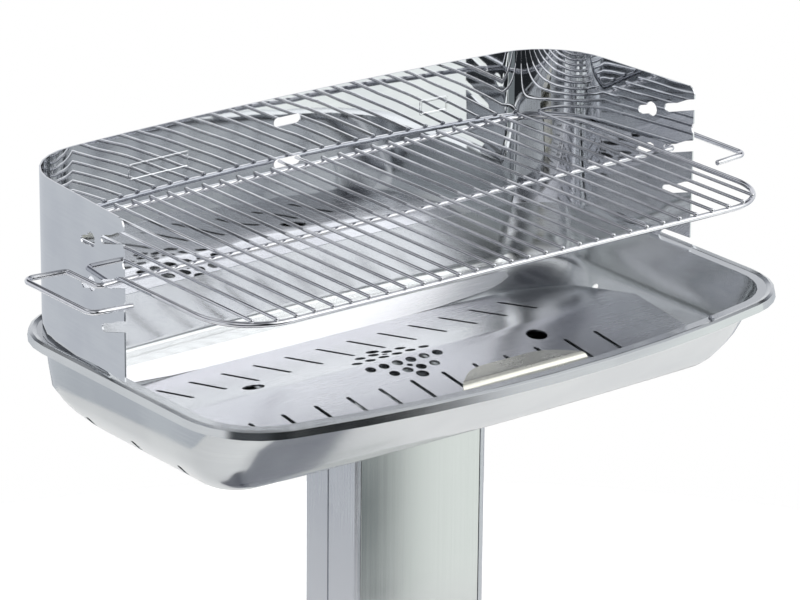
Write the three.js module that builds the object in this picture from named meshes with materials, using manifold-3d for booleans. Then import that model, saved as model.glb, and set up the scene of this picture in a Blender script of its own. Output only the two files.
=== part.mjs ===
// A charcoal barbecue on a column, all in stainless steel: a fire tray with a folded charcoal grate,
// a notched windshield that carries a wire grill, and a slim column on a wide pressed base.
// Millimetres, +X to the right, +Y to the back, +Z up. Z = 0 is the ground under the rubber feet.
// Drops and rises are counted from the plane of the grill's rods, and Y = 0 is the middle of the rods
// until the whole is moved so that the origin lies under the middle of its own footprint.
import * as THREE from 'three';
import { mergeVertices } from 'three/addons/utils/BufferGeometryUtils.js';
import Module from 'manifold-3d';

const wasm = await Module();
wasm.setup();

// Sizes shared by the whole
const grillHeight = 800; // rods above the ground
const seatGap = 0.3; // between pieces that touch
const cutOverrun = 6; // how far a cut runs past what it cuts

// Wire grill
const rodCount = 30;
const rodRadius = 1.5;
const railRadius = 2.5;
const weldSink = 0.3; // how far crossing wires melt into each other
const grillHalfWidth = 290.75; // to the middle of the side rails
const railToRod = 22.5; // from a side rail to the outermost rod
const grillHalfDepth = 155.5; // to the middle of the front and rear rails
const grillCornerRadius = 55;
const carryWireY = 9; // the long wire that rests in the notches and ends in both handles
const carryWireDrop = 6.6;
const handleInnerX = 312;
const handleOuterX = 353;
const handleBackY = 60;
const handleFrontY = 46;
const handleTipX = 315;
const handleBendRadius = 9;
const handleTurnRadius = 5;
const handleSlantShare = 0.12; // slant of the handle's short ends to their length
const longRodReach = 0.8; // how far the middle rods stand out behind the windshield

// Fire tray
const trayHalfWidth = 308.7;
const trayFront = 209.8;
const trayRear = 186;
const traySheet = 1.2;
const rimCornerRadius = 76;
const trayFrontArc = 1107; // radius of the slightly round front edge
const trayRearArc = 3100;
const beadWidth = 8.1;
const beadRise = 1.4;
const flangeWidth = 8.2;
const lipDrop = 6.3;
const rimDrop = 88; // the flat flange of the rim below the rods
const panDepth = 77; // from the flange to the floor
const sideInset = 31.5; // how far the floor's edge lies inside the wall's top
const frontInset = 86.4;
const rearInset = 31;
const sideBendHeight = 37; // height of the bend from the wall into the floor
const frontBendHeight = 7.4;
const rearBendHeight = 31;
const sideBendRun = 31; // the bend's part of the inset
const frontBendRun = 13.7;
const rearBendRun = 30;
const bendPower = 1.35; // 1 is a plain slope, 2 a quarter round
const floorFrontArc = 6000;
const floorFrontRadius = 28.5;
const floorRearRadius = 71;
const wallStepShares = [0, 0.1, 0.35, 0.6, 0.7, 0.76, 0.83, 0.91, 0.97, 1]; // of the depth, one a ring
const topSteepShare = 0.35; // upper share of the wall that eases from steep to its own slope
const ventLength = 15; // down the bend of the side wall
const ventWidth = 7;
const ventPitch = 67.5;
const ventMiddleY = 6.5;
const ventX = 277;
const ventDrop = 155.4;
const ventDepth = 24;
const ventTilt = Math.PI * 0.26;
const studX = 195; // the single stud on the rim, at its right front
const studInset = 12.5; // from the rim's outer edge
const studRadius = 2.7;
const studHeight = 2.2;
const studShankRadius = 1.4;
const studTail = 1.2; // height of its closing head under the rim

// Charcoal grate
const grateHalfWidth = 272;
const grateSheet = 1.5;
const ridgeY = 9.6;
const ridgeDrop = 139.2; // underside of the ridge
const creaseY = 141;
const creaseCornerRadius = 33;
const rearFlangeHeight = 18;
const rearFlangeLean = 7;
const rearFlangeHalfWidth = 235;
const rearFlangeSlant = 6;
const frontSlopeShare = 0.132; // fall of the front slope to its length
const grateFrontReach = 140; // past the tray's wall, where the sheet is trimmed to fit
const grateSlotPitch = 34.35;
const grateSlotCount = 12;
const grateSlotWidth = 4;
const backSlotStart = 39;
const frontSlotStart = 41;
const grateSlotLength = 57;
const holePitch = 14.6;
const holeRadius = 5;
const firstHoleRow = 9.8;
const secondHoleRow = 24.7;
const oddHoleOffset = 30;
const oddHoleRadius = 6;
const pinHoleOffset = 18;
const pinHoleRadius = 2.75;
const liftHoleX = 138;
const liftHoleOffset = 22.8;
const liftHoleRadius = 10;
const endSlotX = 247.7;
const endSlotOffset = 103;
const endSlotLength = 8;
const endSlotWidth = 2.5;

// Grip of the charcoal grate
const gripSheet = 1.5;
const gripHalfWidth = 67.5;
const gripStemHalfWidth = 46;
const gripFreeHalfWidth = 39;
const gripFreeY = 140;
const gripApexY = 180.5;
const gripApexDrop = 94;
const gripBendRadius = 8;
const gripShoulderY = 166;
const gripSeam = 12; // how far under its top the grip narrows to the stem
const gripFootY = 100;
const gripHeelY = 117;
const gripEndRadius = 12;
const gripEdgeRadius = 40;

// Windshield
const shieldSheet = 1.5;
const shieldRise = 59.5;
const wingDrop = 82; // bottom of the wings' free front part
const wingFrontY = 22.5;
const wingFrontX = 308;
const wingRearX = 300;
const shieldBack = 171.6;
const shieldCornerRadius = 70;
const shieldTopRadius = 8;
const footFrontY = 11; // the foot starts behind here
const footLap = 2;
const footClearance = 0.6; // to the rim's bead
const notchPitch = 38.5;
const notchHeight = 8;
const notchDepth = 37;
const notchSlope = Math.PI * 0.0917;
const notchMouthShares = [[0.53, 0.95], [0.17, 1.22], [-0.2, 1.2]]; // of depth and height
const keyholeRadius = 6.75;
const keyholeY = 30.6;
const keyholeBelowLip = 11.6;
const keyholeSlotEndY = 47.5;
const keyholeCount = 2;
const nickRadius = 6;
const nickDepth = 2.3;
const nickBelowLip = 17.2;
const backSlotCount = 2;
const backSlotRoom = 4; // beside the middle rods
const backSlotHeight = 8.5;
const backSlotBelowLip = 1.6;
const backSlotX = -1.4;

// Column
const columnHalfWidth = 72;
const columnDepth = 72.4;
const columnY = 10.4; // its middle
const columnEdgeRadius = 3;
const profileWall = 2.5;
const profileFace = 6; // visible width beside the panels
const profileLedge = 16;
const sideGrooveWidth = 2;
const sideGrooveDepth = 1;
const sideGrooveY = 13;
const panelSheet = 1.5;
const panelGap = 0.8;
const panelFold = 9;
const panelFoldLength = 24;
const portRadius = 5.5;
const portSink = 1; // how far a screw port grows into the channel's walls
const screwRadius = 2.8;
const screwHeadRadius = 5.6;
const screwLength = 22;
const screwClearance = 0.2;

// Carrier between the column and the tray
const carrierSheet = 4;
const carrierHalfWidth = 130;
const carrierHalfDepth = 68;
const carrierSkirt = 22;
const carrierBendRadius = 6;
const boltRadius = 3;
const boltHeadRadius = 6;
const boltHeadHeight = 3.3;
const boltX = 105;
const boltY = 50;
const boltEnd = 3; // thread beyond the nut
const nutFlats = 10;
const nutHeight = 5;

// Base
const baseHalfWidth = 210;
const baseHalfDepth = 165;
const baseSheet = 4;
const baseSkirt = 20;
const baseCornerRadius = 30;
const baseEdgeRadius = 5;
const footPlateThickness = 6;
const footPlateHalfWidth = 104;
const footPlateHalfDepth = 68;
const footPlateCornerRadius = 10;
const footBoltX = 90;
const footBoltY = 54;
const rubberHeight = 26;
const rubberTopRadius = 15;
const rubberFootRadius = 17;
const rubberChamfer = 2;
const rubberInset = 34;
const footScrewLength = 18;
const footScrewDepth = 20;

// Smoothness of round shapes
const cornerSteps = 7;
const rearSteps = 8;
const wireSides = 8;
const rodSides = 6;
const holeSides = 12;
const slotEndSteps = 3;
const turnedSides = 12;
const flatsCount = 6;

// Levels that follow
const down = (drop) => grillHeight - drop;
const rimLevel = down(rimDrop);
const floorLevel = rimLevel - panDepth;
const beadLevel = rimLevel + beadRise;
const trayUnderside = floorLevel - traySheet;
const carrierTop = trayUnderside - seatGap;
const columnTop = carrierTop - carrierSheet - seatGap;
const baseTop = rubberHeight + seatGap + baseSheet;
const footPlateTop = baseTop + seatGap + footPlateThickness;
const columnBottom = footPlateTop + seatGap;
const portX = columnHalfWidth - profileWall - portRadius + portSink;
const ledgeY = columnDepth / 2 - panelSheet - seatGap;
const portY = ledgeY - profileWall - portRadius + portSink;
const wireLevel = down(carryWireDrop);
const railLevel = grillHeight - rodRadius - railRadius + weldSink;
const rodPitch = (2 * (grillHalfWidth - railToRod)) / (rodCount - 1);
const backSlotHalfWidth = rodPitch / 2 + rodRadius + backSlotRoom;
const studArc = trayFrontArc - studInset;
const studY = trayFrontArc - trayFront - Math.sqrt(studArc ** 2 - studX ** 2);

const quarterTurn = Math.PI / 2;
const vector = (x, y) => new THREE.Vector2(x, y);

// A geometry as a solid with its faces turned outwards.
function solid(geometry) {
  const bare = geometry.clone();
  bare.deleteAttribute('normal');
  if (bare.hasAttribute('uv')) bare.deleteAttribute('uv');
  const merged = mergeVertices(bare);
  const places = merged.getAttribute('position');
  const corners = Array.from(merged.index.array);
  const faces = [];
  let volume = 0;
  for (let i = 0; i < corners.length; i += 3) {
    const [a, b, c] = corners.slice(i, i + 3);
    if (a === b || b === c || c === a) continue;
    faces.push([a, b, c]);
    const point = (index) => new THREE.Vector3().fromBufferAttribute(places, index);
    volume += point(a).dot(point(b).cross(point(c)));
  }
  if (volume < 0) faces.forEach((face) => face.reverse());
  return new wasm.Manifold(new wasm.Mesh({
    numProp: 3,
    vertProperties: places.array,
    triVerts: new Uint32Array(faces.flat()),
  }));
}

function joined(solids) {
  return solids.reduce((whole, next) => whole.add(next));
}

function cut(body, cutters) {
  return cutters.reduce((rest, cutter) => rest.subtract(cutter), body);
}

function geometryOf(body) {
  const mesh = body.getMesh();
  const geometry = new THREE.BufferGeometry();
  geometry.setAttribute('position', new THREE.BufferAttribute(mesh.vertProperties, 3));
  geometry.setIndex(new THREE.BufferAttribute(mesh.triVerts, 1));
  const flat = geometry.toNonIndexed();
  flat.computeVertexNormals();
  return flat;
}

// A polyline whose corners are replaced by tangent arcs, one radius for all or one for each.
function roundCorners(corners, radii, steps, closed = true) {
  const path = [];
  corners.forEach((corner, i) => {
    const radius = Array.isArray(radii) ? radii[i] : radii;
    const isEnd = !closed && (i === 0 || i === corners.length - 1);
    if (isEnd || radius === 0) {
      path.push(corner.clone());
      return;
    }
    const toBefore = corners.at(i - 1).clone().sub(corner).normalize();
    const toAfter = corners[(i + 1) % corners.length].clone().sub(corner).normalize();
    const halfAngle = Math.acos(toBefore.dot(toAfter)) / 2;
    const reach = radius / Math.tan(halfAngle);
    const inwards = toBefore.clone().add(toAfter).normalize();
    const centre = corner.clone().addScaledVector(inwards, radius / Math.sin(halfAngle));
    const start = corner.clone().addScaledVector(toBefore, reach).sub(centre);
    const end = corner.clone().addScaledVector(toAfter, reach).sub(centre);
    const turn = Math.atan2(start.cross(end), start.dot(end));
    for (let step = 0; step <= steps; step += 1) {
      path.push(start.clone().rotateAround(vector(0, 0), (turn * step) / steps).add(centre));
    }
  });
  return path;
}

function rectangle(left, right, low, high) {
  return [vector(left, low), vector(right, low), vector(right, high), vector(left, high)];
}

// A slot with round ends between two points.
function slotOutline(from, to, width, steps = holeSides / 2) {
  const along = to.clone().sub(from).normalize();
  const side = vector(-along.y, along.x).multiplyScalar(width / 2);
  const points = [];
  for (const [centre, sign] of [[to, -1], [from, 1]]) {
    for (let step = 0; step <= steps; step += 1) {
      const spoke = side.clone().multiplyScalar(sign);
      points.push(spoke.rotateAround(vector(0, 0), (Math.PI * step) / steps).add(centre));
    }
  }
  return points;
}

// A folded sheet's outline: the path, and the same path moved to its right by the thickness.
function sheetOutline(path, thickness) {
  const moved = path.map((point, i) => {
    const before = path[Math.max(i - 1, 0)];
    const after = path[Math.min(i + 1, path.length - 1)];
    const into = point.clone().sub(before).normalize();
    const out = after.clone().sub(point).normalize();
    if (i === 0) into.copy(out);
    if (i === path.length - 1) out.copy(into);
    const right = vector(into.y, -into.x).add(vector(out.y, -out.x)).normalize();
    return point.clone().addScaledVector(right, thickness / right.dot(vector(into.y, -into.x)));
  });
  return [...path, ...moved.reverse()];
}

function extruded(outline, length) {
  return new THREE.ExtrudeGeometry(new THREE.Shape(outline), { depth: length, bevelEnabled: false });
}

// An outline in X and Y raised from low to high.
function uprightPrism(outline, low, high) {
  return solid(extruded(outline, high - low).translate(0, 0, low));
}

// An outline in Y and Z drawn out from left to right.
function crosswisePrism(outline, left, right) {
  const turned = new THREE.Matrix4().set(0, 0, 1, 0, 1, 0, 0, 0, 0, 1, 0, 0, 0, 0, 0, 1);
  return solid(extruded(outline, right - left).applyMatrix4(turned).translate(left, 0, 0));
}

// An outline in X and Z drawn out from front to back.
function lengthwisePrism(outline, front, back) {
  return solid(extruded(outline, back - front).rotateX(quarterTurn).translate(0, back, 0));
}

function roundHole(x, y, radius, low, high) {
  const hole = new THREE.CylinderGeometry(radius, radius, high - low, holeSides);
  return solid(hole.rotateX(quarterTurn).translate(x, y, (low + high) / 2));
}

// A turned piece from its profile of radius and level, which starts and ends on the axis.
function turned(profile, sides = turnedSides) {
  const points = profile.map(([radius, level]) => vector(radius, level));
  return solid(new THREE.LatheGeometry(points, sides).rotateX(quarterTurn));
}

function hexagon(flats, low, high) {
  const radius = flats / 2 / Math.cos(Math.PI / flatsCount);
  const bar = new THREE.CylinderGeometry(radius, radius, high - low, flatsCount);
  return solid(bar.rotateX(quarterTurn).translate(0, 0, (low + high) / 2));
}

// A closed skin through sections of equal point count, capped, or joined end to end as a loop.
function loft(sections, loop = false) {
  const count = sections[0].length;
  const places = sections.flat().flatMap((point) => [point.x, point.y, point.z]);
  const faces = [];
  const bands = loop ? sections.length : sections.length - 1;
  for (let band = 0; band < bands; band += 1) {
    const next = (band + 1) % sections.length;
    for (let i = 0; i < count; i += 1) {
      const j = (i + 1) % count;
      const [a, b] = [band * count + i, band * count + j];
      const [c, d] = [next * count + i, next * count + j];
      faces.push(a, b, d, a, d, c);
    }
  }
  if (!loop) {
    faces.push(...capFaces(sections[0], 0, true));
    faces.push(...capFaces(sections.at(-1), (sections.length - 1) * count, false));
  }
  const geometry = new THREE.BufferGeometry();
  geometry.setAttribute('position', new THREE.Float32BufferAttribute(places, 3));
  geometry.setIndex(faces);
  return solid(geometry);
}

// Triangles over one flat section, wound like it or against it.
function capFaces(section, offset, against) {
  const normal = new THREE.Vector3();
  section.forEach((point, i) => {
    normal.add(point.clone().cross(section[(i + 1) % section.length]));
  });
  normal.normalize();
  const side = new THREE.Vector3(normal.z, normal.x, normal.y).cross(normal).normalize();
  const up = normal.clone().cross(side);
  const flat = section.map((point) => vector(point.dot(side), point.dot(up)));
  return THREE.ShapeUtils.triangulateShape(flat, []).flatMap(([a, b, c]) => {
    const turn = flat[b].clone().sub(flat[a]).cross(flat[c].clone().sub(flat[a]));
    const alike = turn > 0;
    return alike === against ? [a + offset, c + offset, b + offset] : [a + offset, b + offset, c + offset];
  });
}

// A round wire along a level path.
function wire(path, level, radius, sides, closed = false) {
  const sections = path.map((point, i) => {
    const before = closed ? path.at(i - 1) : path[Math.max(i - 1, 0)];
    const after = closed ? path[(i + 1) % path.length] : path[Math.min(i + 1, path.length - 1)];
    const into = point.clone().sub(before).normalize();
    const out = after.clone().sub(point).normalize();
    if (into.lengthSq() === 0) into.copy(out);
    if (out.lengthSq() === 0) out.copy(into);
    const across = vector(-into.y - out.y, into.x + out.x).normalize();
    const stretch = 1 / across.dot(vector(-into.y, into.x));
    return Array.from({ length: sides }, (_, k) => {
      const angle = ((k + 0.5) / sides) * 2 * Math.PI;
      const place = point.clone().addScaledVector(across, Math.cos(angle) * radius * stretch);
      return new THREE.Vector3(place.x, place.y, level + Math.sin(angle) * radius);
    });
  });
  return loft(sections, closed);
}

// The rear half of a tray-shaped outline: side, corner, slightly round rear edge, corner, side.
function rearLine(halfWidth, rear, radius, arc, frontY) {
  const cornerX = halfWidth - radius;
  const arcY = rear - arc;
  const lean = Math.asin(cornerX / (arc - radius));
  const cornerY = arcY + (arc - radius) * Math.cos(lean);
  const right = [vector(halfWidth, frontY)];
  for (let step = 0; step <= cornerSteps; step += 1) {
    const angle = lean + ((quarterTurn - lean) * (cornerSteps - step)) / cornerSteps;
    right.push(vector(cornerX + radius * Math.sin(angle), cornerY + radius * Math.cos(angle)));
  }
  const middle = [];
  for (let step = 1; step < rearSteps; step += 1) {
    const angle = lean * (1 - (2 * step) / rearSteps);
    middle.push(vector(arc * Math.sin(angle), arcY + arc * Math.cos(angle)));
  }
  const left = right.map((point) => vector(-point.x, point.y)).reverse();
  return [...right, ...middle, ...left];
}

// The whole tray-shaped outline, from the middle of the right side round to the same place.
function trayLine(size) {
  const rear = rearLine(size.halfWidth, size.rear, size.rearRadius, size.rearArc, 0);
  const front = rearLine(size.halfWidth, size.front, size.frontRadius, size.frontArc, 0);
  return [...rear, ...front.slice(1, -1).map((point) => vector(point.x, -point.y)).reverse()];
}

function trayRing(size, level) {
  return trayLine(size).map((point) => new THREE.Vector3(point.x, point.y, level));
}

// The rim's outline moved inwards.
function rimInset(inset) {
  return {
    halfWidth: trayHalfWidth - inset,
    front: trayFront - inset,
    rear: trayRear - inset,
    rearRadius: rimCornerRadius - inset,
    frontRadius: rimCornerRadius - inset,
    frontArc: trayFrontArc - inset,
    rearArc: trayRearArc - inset,
  };
}

const rimWidth = beadWidth + flangeWidth;

// How far a wall has run inwards at a share of its depth: a slope, then a bend into the floor.
function wallRun(inset, bendHeight, bendRun, share) {
  const slopeShare = 1 - bendHeight / panDepth;
  const steepness = (1 + Math.min(share / topSteepShare, 1)) / 2;
  const slopeRun = (inset - bendRun) * Math.min(share / slopeShare, 1) * steepness;
  const around = Math.max(share - slopeShare, 0) / (1 - slopeShare);
  return slopeRun + bendRun * (1 - (1 - around ** bendPower) ** (1 / bendPower));
}

// One ring of the tray's wall at a share of its depth, outside it by the given offset.
function wallRing(share, offset, sink) {
  const top = rimInset(rimWidth);
  const size = {
    halfWidth: top.halfWidth - wallRun(sideInset, sideBendHeight, sideBendRun, share) + offset,
    front: top.front - wallRun(frontInset, frontBendHeight, frontBendRun, share) + offset,
    rear: top.rear - wallRun(rearInset, rearBendHeight, rearBendRun, share) + offset,
    rearRadius: top.rearRadius + (floorRearRadius - top.rearRadius) * share + offset,
    frontRadius: top.frontRadius + (floorFrontRadius - top.frontRadius) * share + offset,
    frontArc: 1 / ((1 - share) / top.frontArc + share / floorFrontArc) + offset,
    rearArc: top.rearArc + offset,
  };
  return trayRing(size, rimLevel - panDepth * share - sink * share);
}

function fireTray() {
  const outside = wallStepShares.slice(1).reverse().map((share) => wallRing(share, traySheet, traySheet));
  const inside = wallStepShares.map((share) => wallRing(share, 0, 0));
  const underRim = [
    trayRing(rimInset(rimWidth - traySheet), rimLevel - traySheet),
    trayRing(rimInset(beadWidth), rimLevel - traySheet),
    trayRing(rimInset(traySheet), rimLevel - lipDrop + traySheet),
    trayRing(rimInset(traySheet), rimLevel - lipDrop),
  ];
  const bead = [trayRing(rimInset(0), rimLevel - lipDrop)];
  const beadHeight = lipDrop + beadRise;
  for (const share of [0.25, 0.5, 0.75, 1]) {
    const angle = Math.PI * share;
    const inset = (beadWidth * (1 - Math.cos(angle))) / 2;
    const level = beadLevel - beadHeight / 2 + (beadHeight / 2) * Math.sin(angle);
    bead.push(trayRing(rimInset(inset), Math.max(level, rimLevel)));
  }
  const pan = loft([...outside, ...underRim, ...bead, ...inside]);
  const cutters = [];
  for (const side of [-1, 1]) {
    for (const row of [-1, 0, 1]) {
      const outline = slotOutline(
        vector(-ventLength / 2 + ventWidth / 2, 0),
        vector(ventLength / 2 - ventWidth / 2, 0),
        ventWidth,
      );
      const vent = extruded(outline, ventDepth).translate(0, 0, -ventDepth / 2);
      vent.rotateY(side * (Math.PI - ventTilt));
      cutters.push(solid(vent.translate(side * ventX, ventMiddleY + row * ventPitch, down(ventDrop))));
    }
    for (const end of [-1, 1]) {
      const boltRoom = boltRadius + screwClearance;
      const [low, high] = [trayUnderside - cutOverrun, floorLevel + cutOverrun];
      cutters.push(roundHole(side * boltX, columnY + end * boltY, boltRoom, low, high));
    }
  }
  const shankRoom = studShankRadius + screwClearance;
  cutters.push(roundHole(studX, studY, shankRoom, rimLevel - cutOverrun, rimLevel + cutOverrun));
  return cut(pan, cutters);
}

// A round-headed rivet in the flange of the rim.
function rimStud() {
  const seat = rimLevel + seatGap;
  const underside = rimLevel - traySheet - seatGap;
  const tailRadius = (studRadius + studShankRadius) / 2;
  return turned([
    [0, underside - studTail],
    [tailRadius, underside - studTail],
    [tailRadius, underside],
    [studShankRadius, underside],
    [studShankRadius, seat],
    [studRadius, seat],
    [studRadius, seat + studHeight / 3],
    [studRadius / 2, seat + studHeight],
    [0, seat + studHeight],
  ]);
}

// The room inside the tray, less the gap that a piece resting in it keeps.
function trayRoom() {
  return loft(wallStepShares.map((share) => wallRing(share, -seatGap, -seatGap)));
}

// Level of the front slope's underside.
function frontSlopeLevel(y) {
  return down(ridgeDrop) - (ridgeY - y) * frontSlopeShare;
}

function charcoalGrate() {
  const rest = floorLevel + seatGap;
  const crease = vector(creaseY, rest);
  const ridge = vector(ridgeY, down(ridgeDrop));
  const front = vector(-grateFrontReach, frontSlopeLevel(-grateFrontReach));
  const folded = sheetOutline([crease, ridge, front], grateSheet);
  const plan = roundCorners(
    rectangle(-grateHalfWidth, grateHalfWidth, -grateFrontReach - cutOverrun, creaseY),
    [0, 0, creaseCornerRadius, creaseCornerRadius],
    cornerSteps,
  );
  const low = rest - cutOverrun;
  const high = rimLevel;
  const slopes = crosswisePrism(folded, -grateHalfWidth, grateHalfWidth)
    .intersect(uprightPrism(plan, low, high));
  const flangeTop = vector(creaseY + rearFlangeLean, rest + rearFlangeHeight);
  const lap = crease.clone().lerp(ridge, grateSheet / (creaseY - ridgeY));
  const flangeSection = sheetOutline([flangeTop, crease, lap], grateSheet);
  const flangeFront = roundCorners([
    vector(-rearFlangeHalfWidth - rearFlangeSlant, low),
    vector(rearFlangeHalfWidth + rearFlangeSlant, low),
    vector(rearFlangeHalfWidth - rearFlangeSlant, flangeTop.y + cutOverrun),
    vector(-rearFlangeHalfWidth + rearFlangeSlant, flangeTop.y + cutOverrun),
  ], 0, 1);
  const flange = crosswisePrism(flangeSection, -grateHalfWidth, grateHalfWidth)
    .intersect(lengthwisePrism(flangeFront, ridgeY, flangeTop.x + cutOverrun));
  const cutters = [];
  for (const side of [-1, 1]) {
    const slotStart = side > 0 ? backSlotStart : frontSlotStart;
    for (let i = 0; i < grateSlotCount; i += 1) {
      const x = (i - (grateSlotCount - 1) / 2) * grateSlotPitch;
      const from = vector(x, ridgeY + side * (slotStart + grateSlotWidth / 2));
      const to = vector(x, ridgeY + side * (slotStart + grateSlotLength - grateSlotWidth / 2));
      cutters.push(uprightPrism(slotOutline(from, to, grateSlotWidth, slotEndSteps), low, high));
    }
    for (const [row, perRow] of [[firstHoleRow, 6], [secondHoleRow, 4]]) {
      for (let i = 0; i < perRow; i += 1) {
        const x = (i - (perRow - 1) / 2) * holePitch;
        cutters.push(roundHole(x, ridgeY + side * row, holeRadius, low, high));
      }
    }
    cutters.push(roundHole(0, ridgeY + side * (oddHoleOffset + oddHoleRadius), oddHoleRadius, low, high));
    cutters.push(roundHole(0, ridgeY + side * pinHoleOffset, pinHoleRadius, low, high));
    cutters.push(roundHole(-side * liftHoleX, ridgeY + side * liftHoleOffset, liftHoleRadius, low, high));
    const halfSlot = vector((endSlotLength - endSlotWidth) / 2, 0);
    const slotPlace = vector(side * endSlotX, ridgeY + endSlotOffset);
    const [from, to] = [slotPlace.clone().sub(halfSlot), slotPlace.clone().add(halfSlot)];
    cutters.push(uprightPrism(slotOutline(from, to, endSlotWidth, slotEndSteps), low, high));
  }
  return cut(slopes.add(flange).intersect(trayRoom()), cutters);
}

function grateGrip() {
  const onSlope = (y) => frontSlopeLevel(y) + grateSheet / Math.cos(Math.atan(frontSlopeShare)) + seatGap;
  const top = down(gripApexDrop);
  const path = roundCorners([
    vector(-gripFootY, onSlope(-gripFootY)),
    vector(-gripHeelY, onSlope(-gripHeelY)),
    vector(-gripApexY, top),
    vector(-gripFreeY, top),
  ], [0, gripSheet * 2, gripBendRadius, 0], cornerSteps, false);
  const section = sheetOutline(path, gripSheet);
  const seam = top - gripSeam;
  const stemCut = rectangle(-gripStemHalfWidth, gripStemHalfWidth, floorLevel, seam);
  const stem = crosswisePrism(section, -gripHalfWidth, gripHalfWidth)
    .intersect(lengthwisePrism(stemCut, -gripApexY - cutOverrun, -gripFootY + cutOverrun));
  const halfMoon = roundCorners([
    vector(-gripHalfWidth, -gripApexY - cutOverrun),
    vector(gripHalfWidth, -gripApexY - cutOverrun),
    vector(gripHalfWidth, -gripShoulderY),
    vector(gripFreeHalfWidth, -gripFreeY),
    vector(-gripFreeHalfWidth, -gripFreeY),
    vector(-gripHalfWidth, -gripShoulderY),
  ], [0, 0, gripEndRadius, gripEdgeRadius, gripEdgeRadius, gripEndRadius], cornerSteps);
  const blade = crosswisePrism(section, -gripHalfWidth, gripHalfWidth)
    .intersect(uprightPrism(halfMoon, seam - seatGap, top + cutOverrun));
  return stem.add(blade);
}

// The windshield's wall in plan, moved inwards by the inset, with wings that open to the front.
function shieldLine(inset, frontY) {
  const line = rearLine(
    wingRearX - inset,
    shieldBack - inset,
    shieldCornerRadius - inset,
    trayRearArc - inset,
    frontY,
  );
  const cornerY = line[1].y;
  const flareShare = (wingFrontX - wingRearX) / (cornerY + wingFrontY);
  return line.map((point) => {
    const opening = Math.max(cornerY - point.y, 0) * flareShare;
    return vector(point.x + Math.sign(point.x) * opening, point.y);
  });
}

// The line that the windshield's foot stands on: under the wall, but inside the rim's bead.
function footLine(inset) {
  const reach = trayHalfWidth - beadWidth - footClearance - inset;
  return shieldLine(inset, footFrontY)
    .map((point) => vector(THREE.MathUtils.clamp(point.x, -reach, reach), point.y));
}

// The middle notch's lip: its lower edge passes just under the grill's long wire.
const slopeBack = vector(Math.cos(notchSlope), -Math.sin(notchSlope));
const slopeUp = vector(Math.sin(notchSlope), Math.cos(notchSlope));
const wireToFront = carryWireY + wingFrontY;
const lipToWire = (wireToFront * slopeUp.x - railRadius - seatGap) / slopeUp.y;
const middleLip = wireLevel + lipToWire;

function notchOutline(lip) {
  const start = vector(-wingFrontY, lip);
  const place = (along, above) => start.clone().addScaledVector(slopeBack, along).addScaledVector(slopeUp, above);
  const end = notchDepth - notchHeight / 2;
  const points = [place(-cutOverrun, 0)];
  for (let step = 0; step <= cornerSteps; step += 1) {
    const angle = (Math.PI * step) / cornerSteps;
    points.push(place(end + (notchHeight / 2) * Math.sin(angle), (notchHeight / 2) * (1 - Math.cos(angle))));
  }
  for (const [depthShare, heightShare] of notchMouthShares) {
    points.push(place(notchDepth * depthShare, notchHeight * heightShare));
  }
  return points;
}

function windshield() {
  const wallOut = shieldLine(0, -wingFrontY);
  const wallIn = shieldLine(shieldSheet, -wingFrontY);
  const top = grillHeight + shieldRise;
  const at = (point, level) => new THREE.Vector3(point.x, point.y, level);
  const wall = loft(wallOut.map((outer, i) => [
    at(outer, down(wingDrop)), at(outer, top), at(wallIn[i], top), at(wallIn[i], down(wingDrop)),
  ]));
  const upperOut = shieldLine(0, footFrontY);
  const upperIn = shieldLine(shieldSheet, footFrontY);
  const lowerOut = footLine(0);
  const lowerIn = footLine(shieldSheet);
  const footLevel = rimLevel + seatGap;
  const foot = loft(upperOut.map((outer, i) => [
    at(lowerOut[i], footLevel),
    at(outer, down(wingDrop) + footLap),
    at(upperIn[i], down(wingDrop) + footLap),
    at(lowerIn[i], footLevel),
  ]));
  const sideView = roundCorners(
    rectangle(-wingFrontY, trayRear, rimLevel - cutOverrun, top),
    [0, 0, 0, shieldTopRadius],
    cornerSteps,
  );
  const reach = handleInnerX;
  const shell = wall.add(foot).intersect(crosswisePrism(sideView, -reach, reach));
  const cutters = [];
  for (const row of [1, 0, -1]) {
    const lip = middleLip + row * notchPitch;
    cutters.push(crosswisePrism(notchOutline(lip), -reach, reach));
    if (1 - row < backSlotCount) {
      const slot = rectangle(
        backSlotX - backSlotHalfWidth,
        backSlotX + backSlotHalfWidth,
        lip - backSlotBelowLip - backSlotHeight / 2,
        lip - backSlotBelowLip + backSlotHeight / 2,
      );
      const outline = roundCorners(slot, backSlotHeight / 2 - seatGap, cornerSteps);
      cutters.push(lengthwisePrism(outline, creaseY, trayRear));
    }
    if (1 - row < keyholeCount) {
      const hole = vector(keyholeY, lip - keyholeBelowLip);
      const back = vector(keyholeSlotEndY - notchHeight / 2, 0);
      back.y = hole.y - (back.x - hole.x) * Math.tan(notchSlope);
      cutters.push(crosswisePrism(slotOutline(hole, back, notchHeight), -reach, reach));
      const round = slotOutline(hole, hole.clone().add(vector(seatGap, 0)), keyholeRadius * 2);
      cutters.push(crosswisePrism(round, -reach, reach));
    }
  }
  const nickY = -wingFrontY + nickDepth - nickRadius;
  const nickZ = middleLip + notchPitch - nickBelowLip;
  const nick = slotOutline(vector(nickY, nickZ), vector(nickY, nickZ + seatGap), nickRadius * 2);
  cutters.push(crosswisePrism(nick, -reach, reach));
  return cut(shell, cutters);
}

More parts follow.
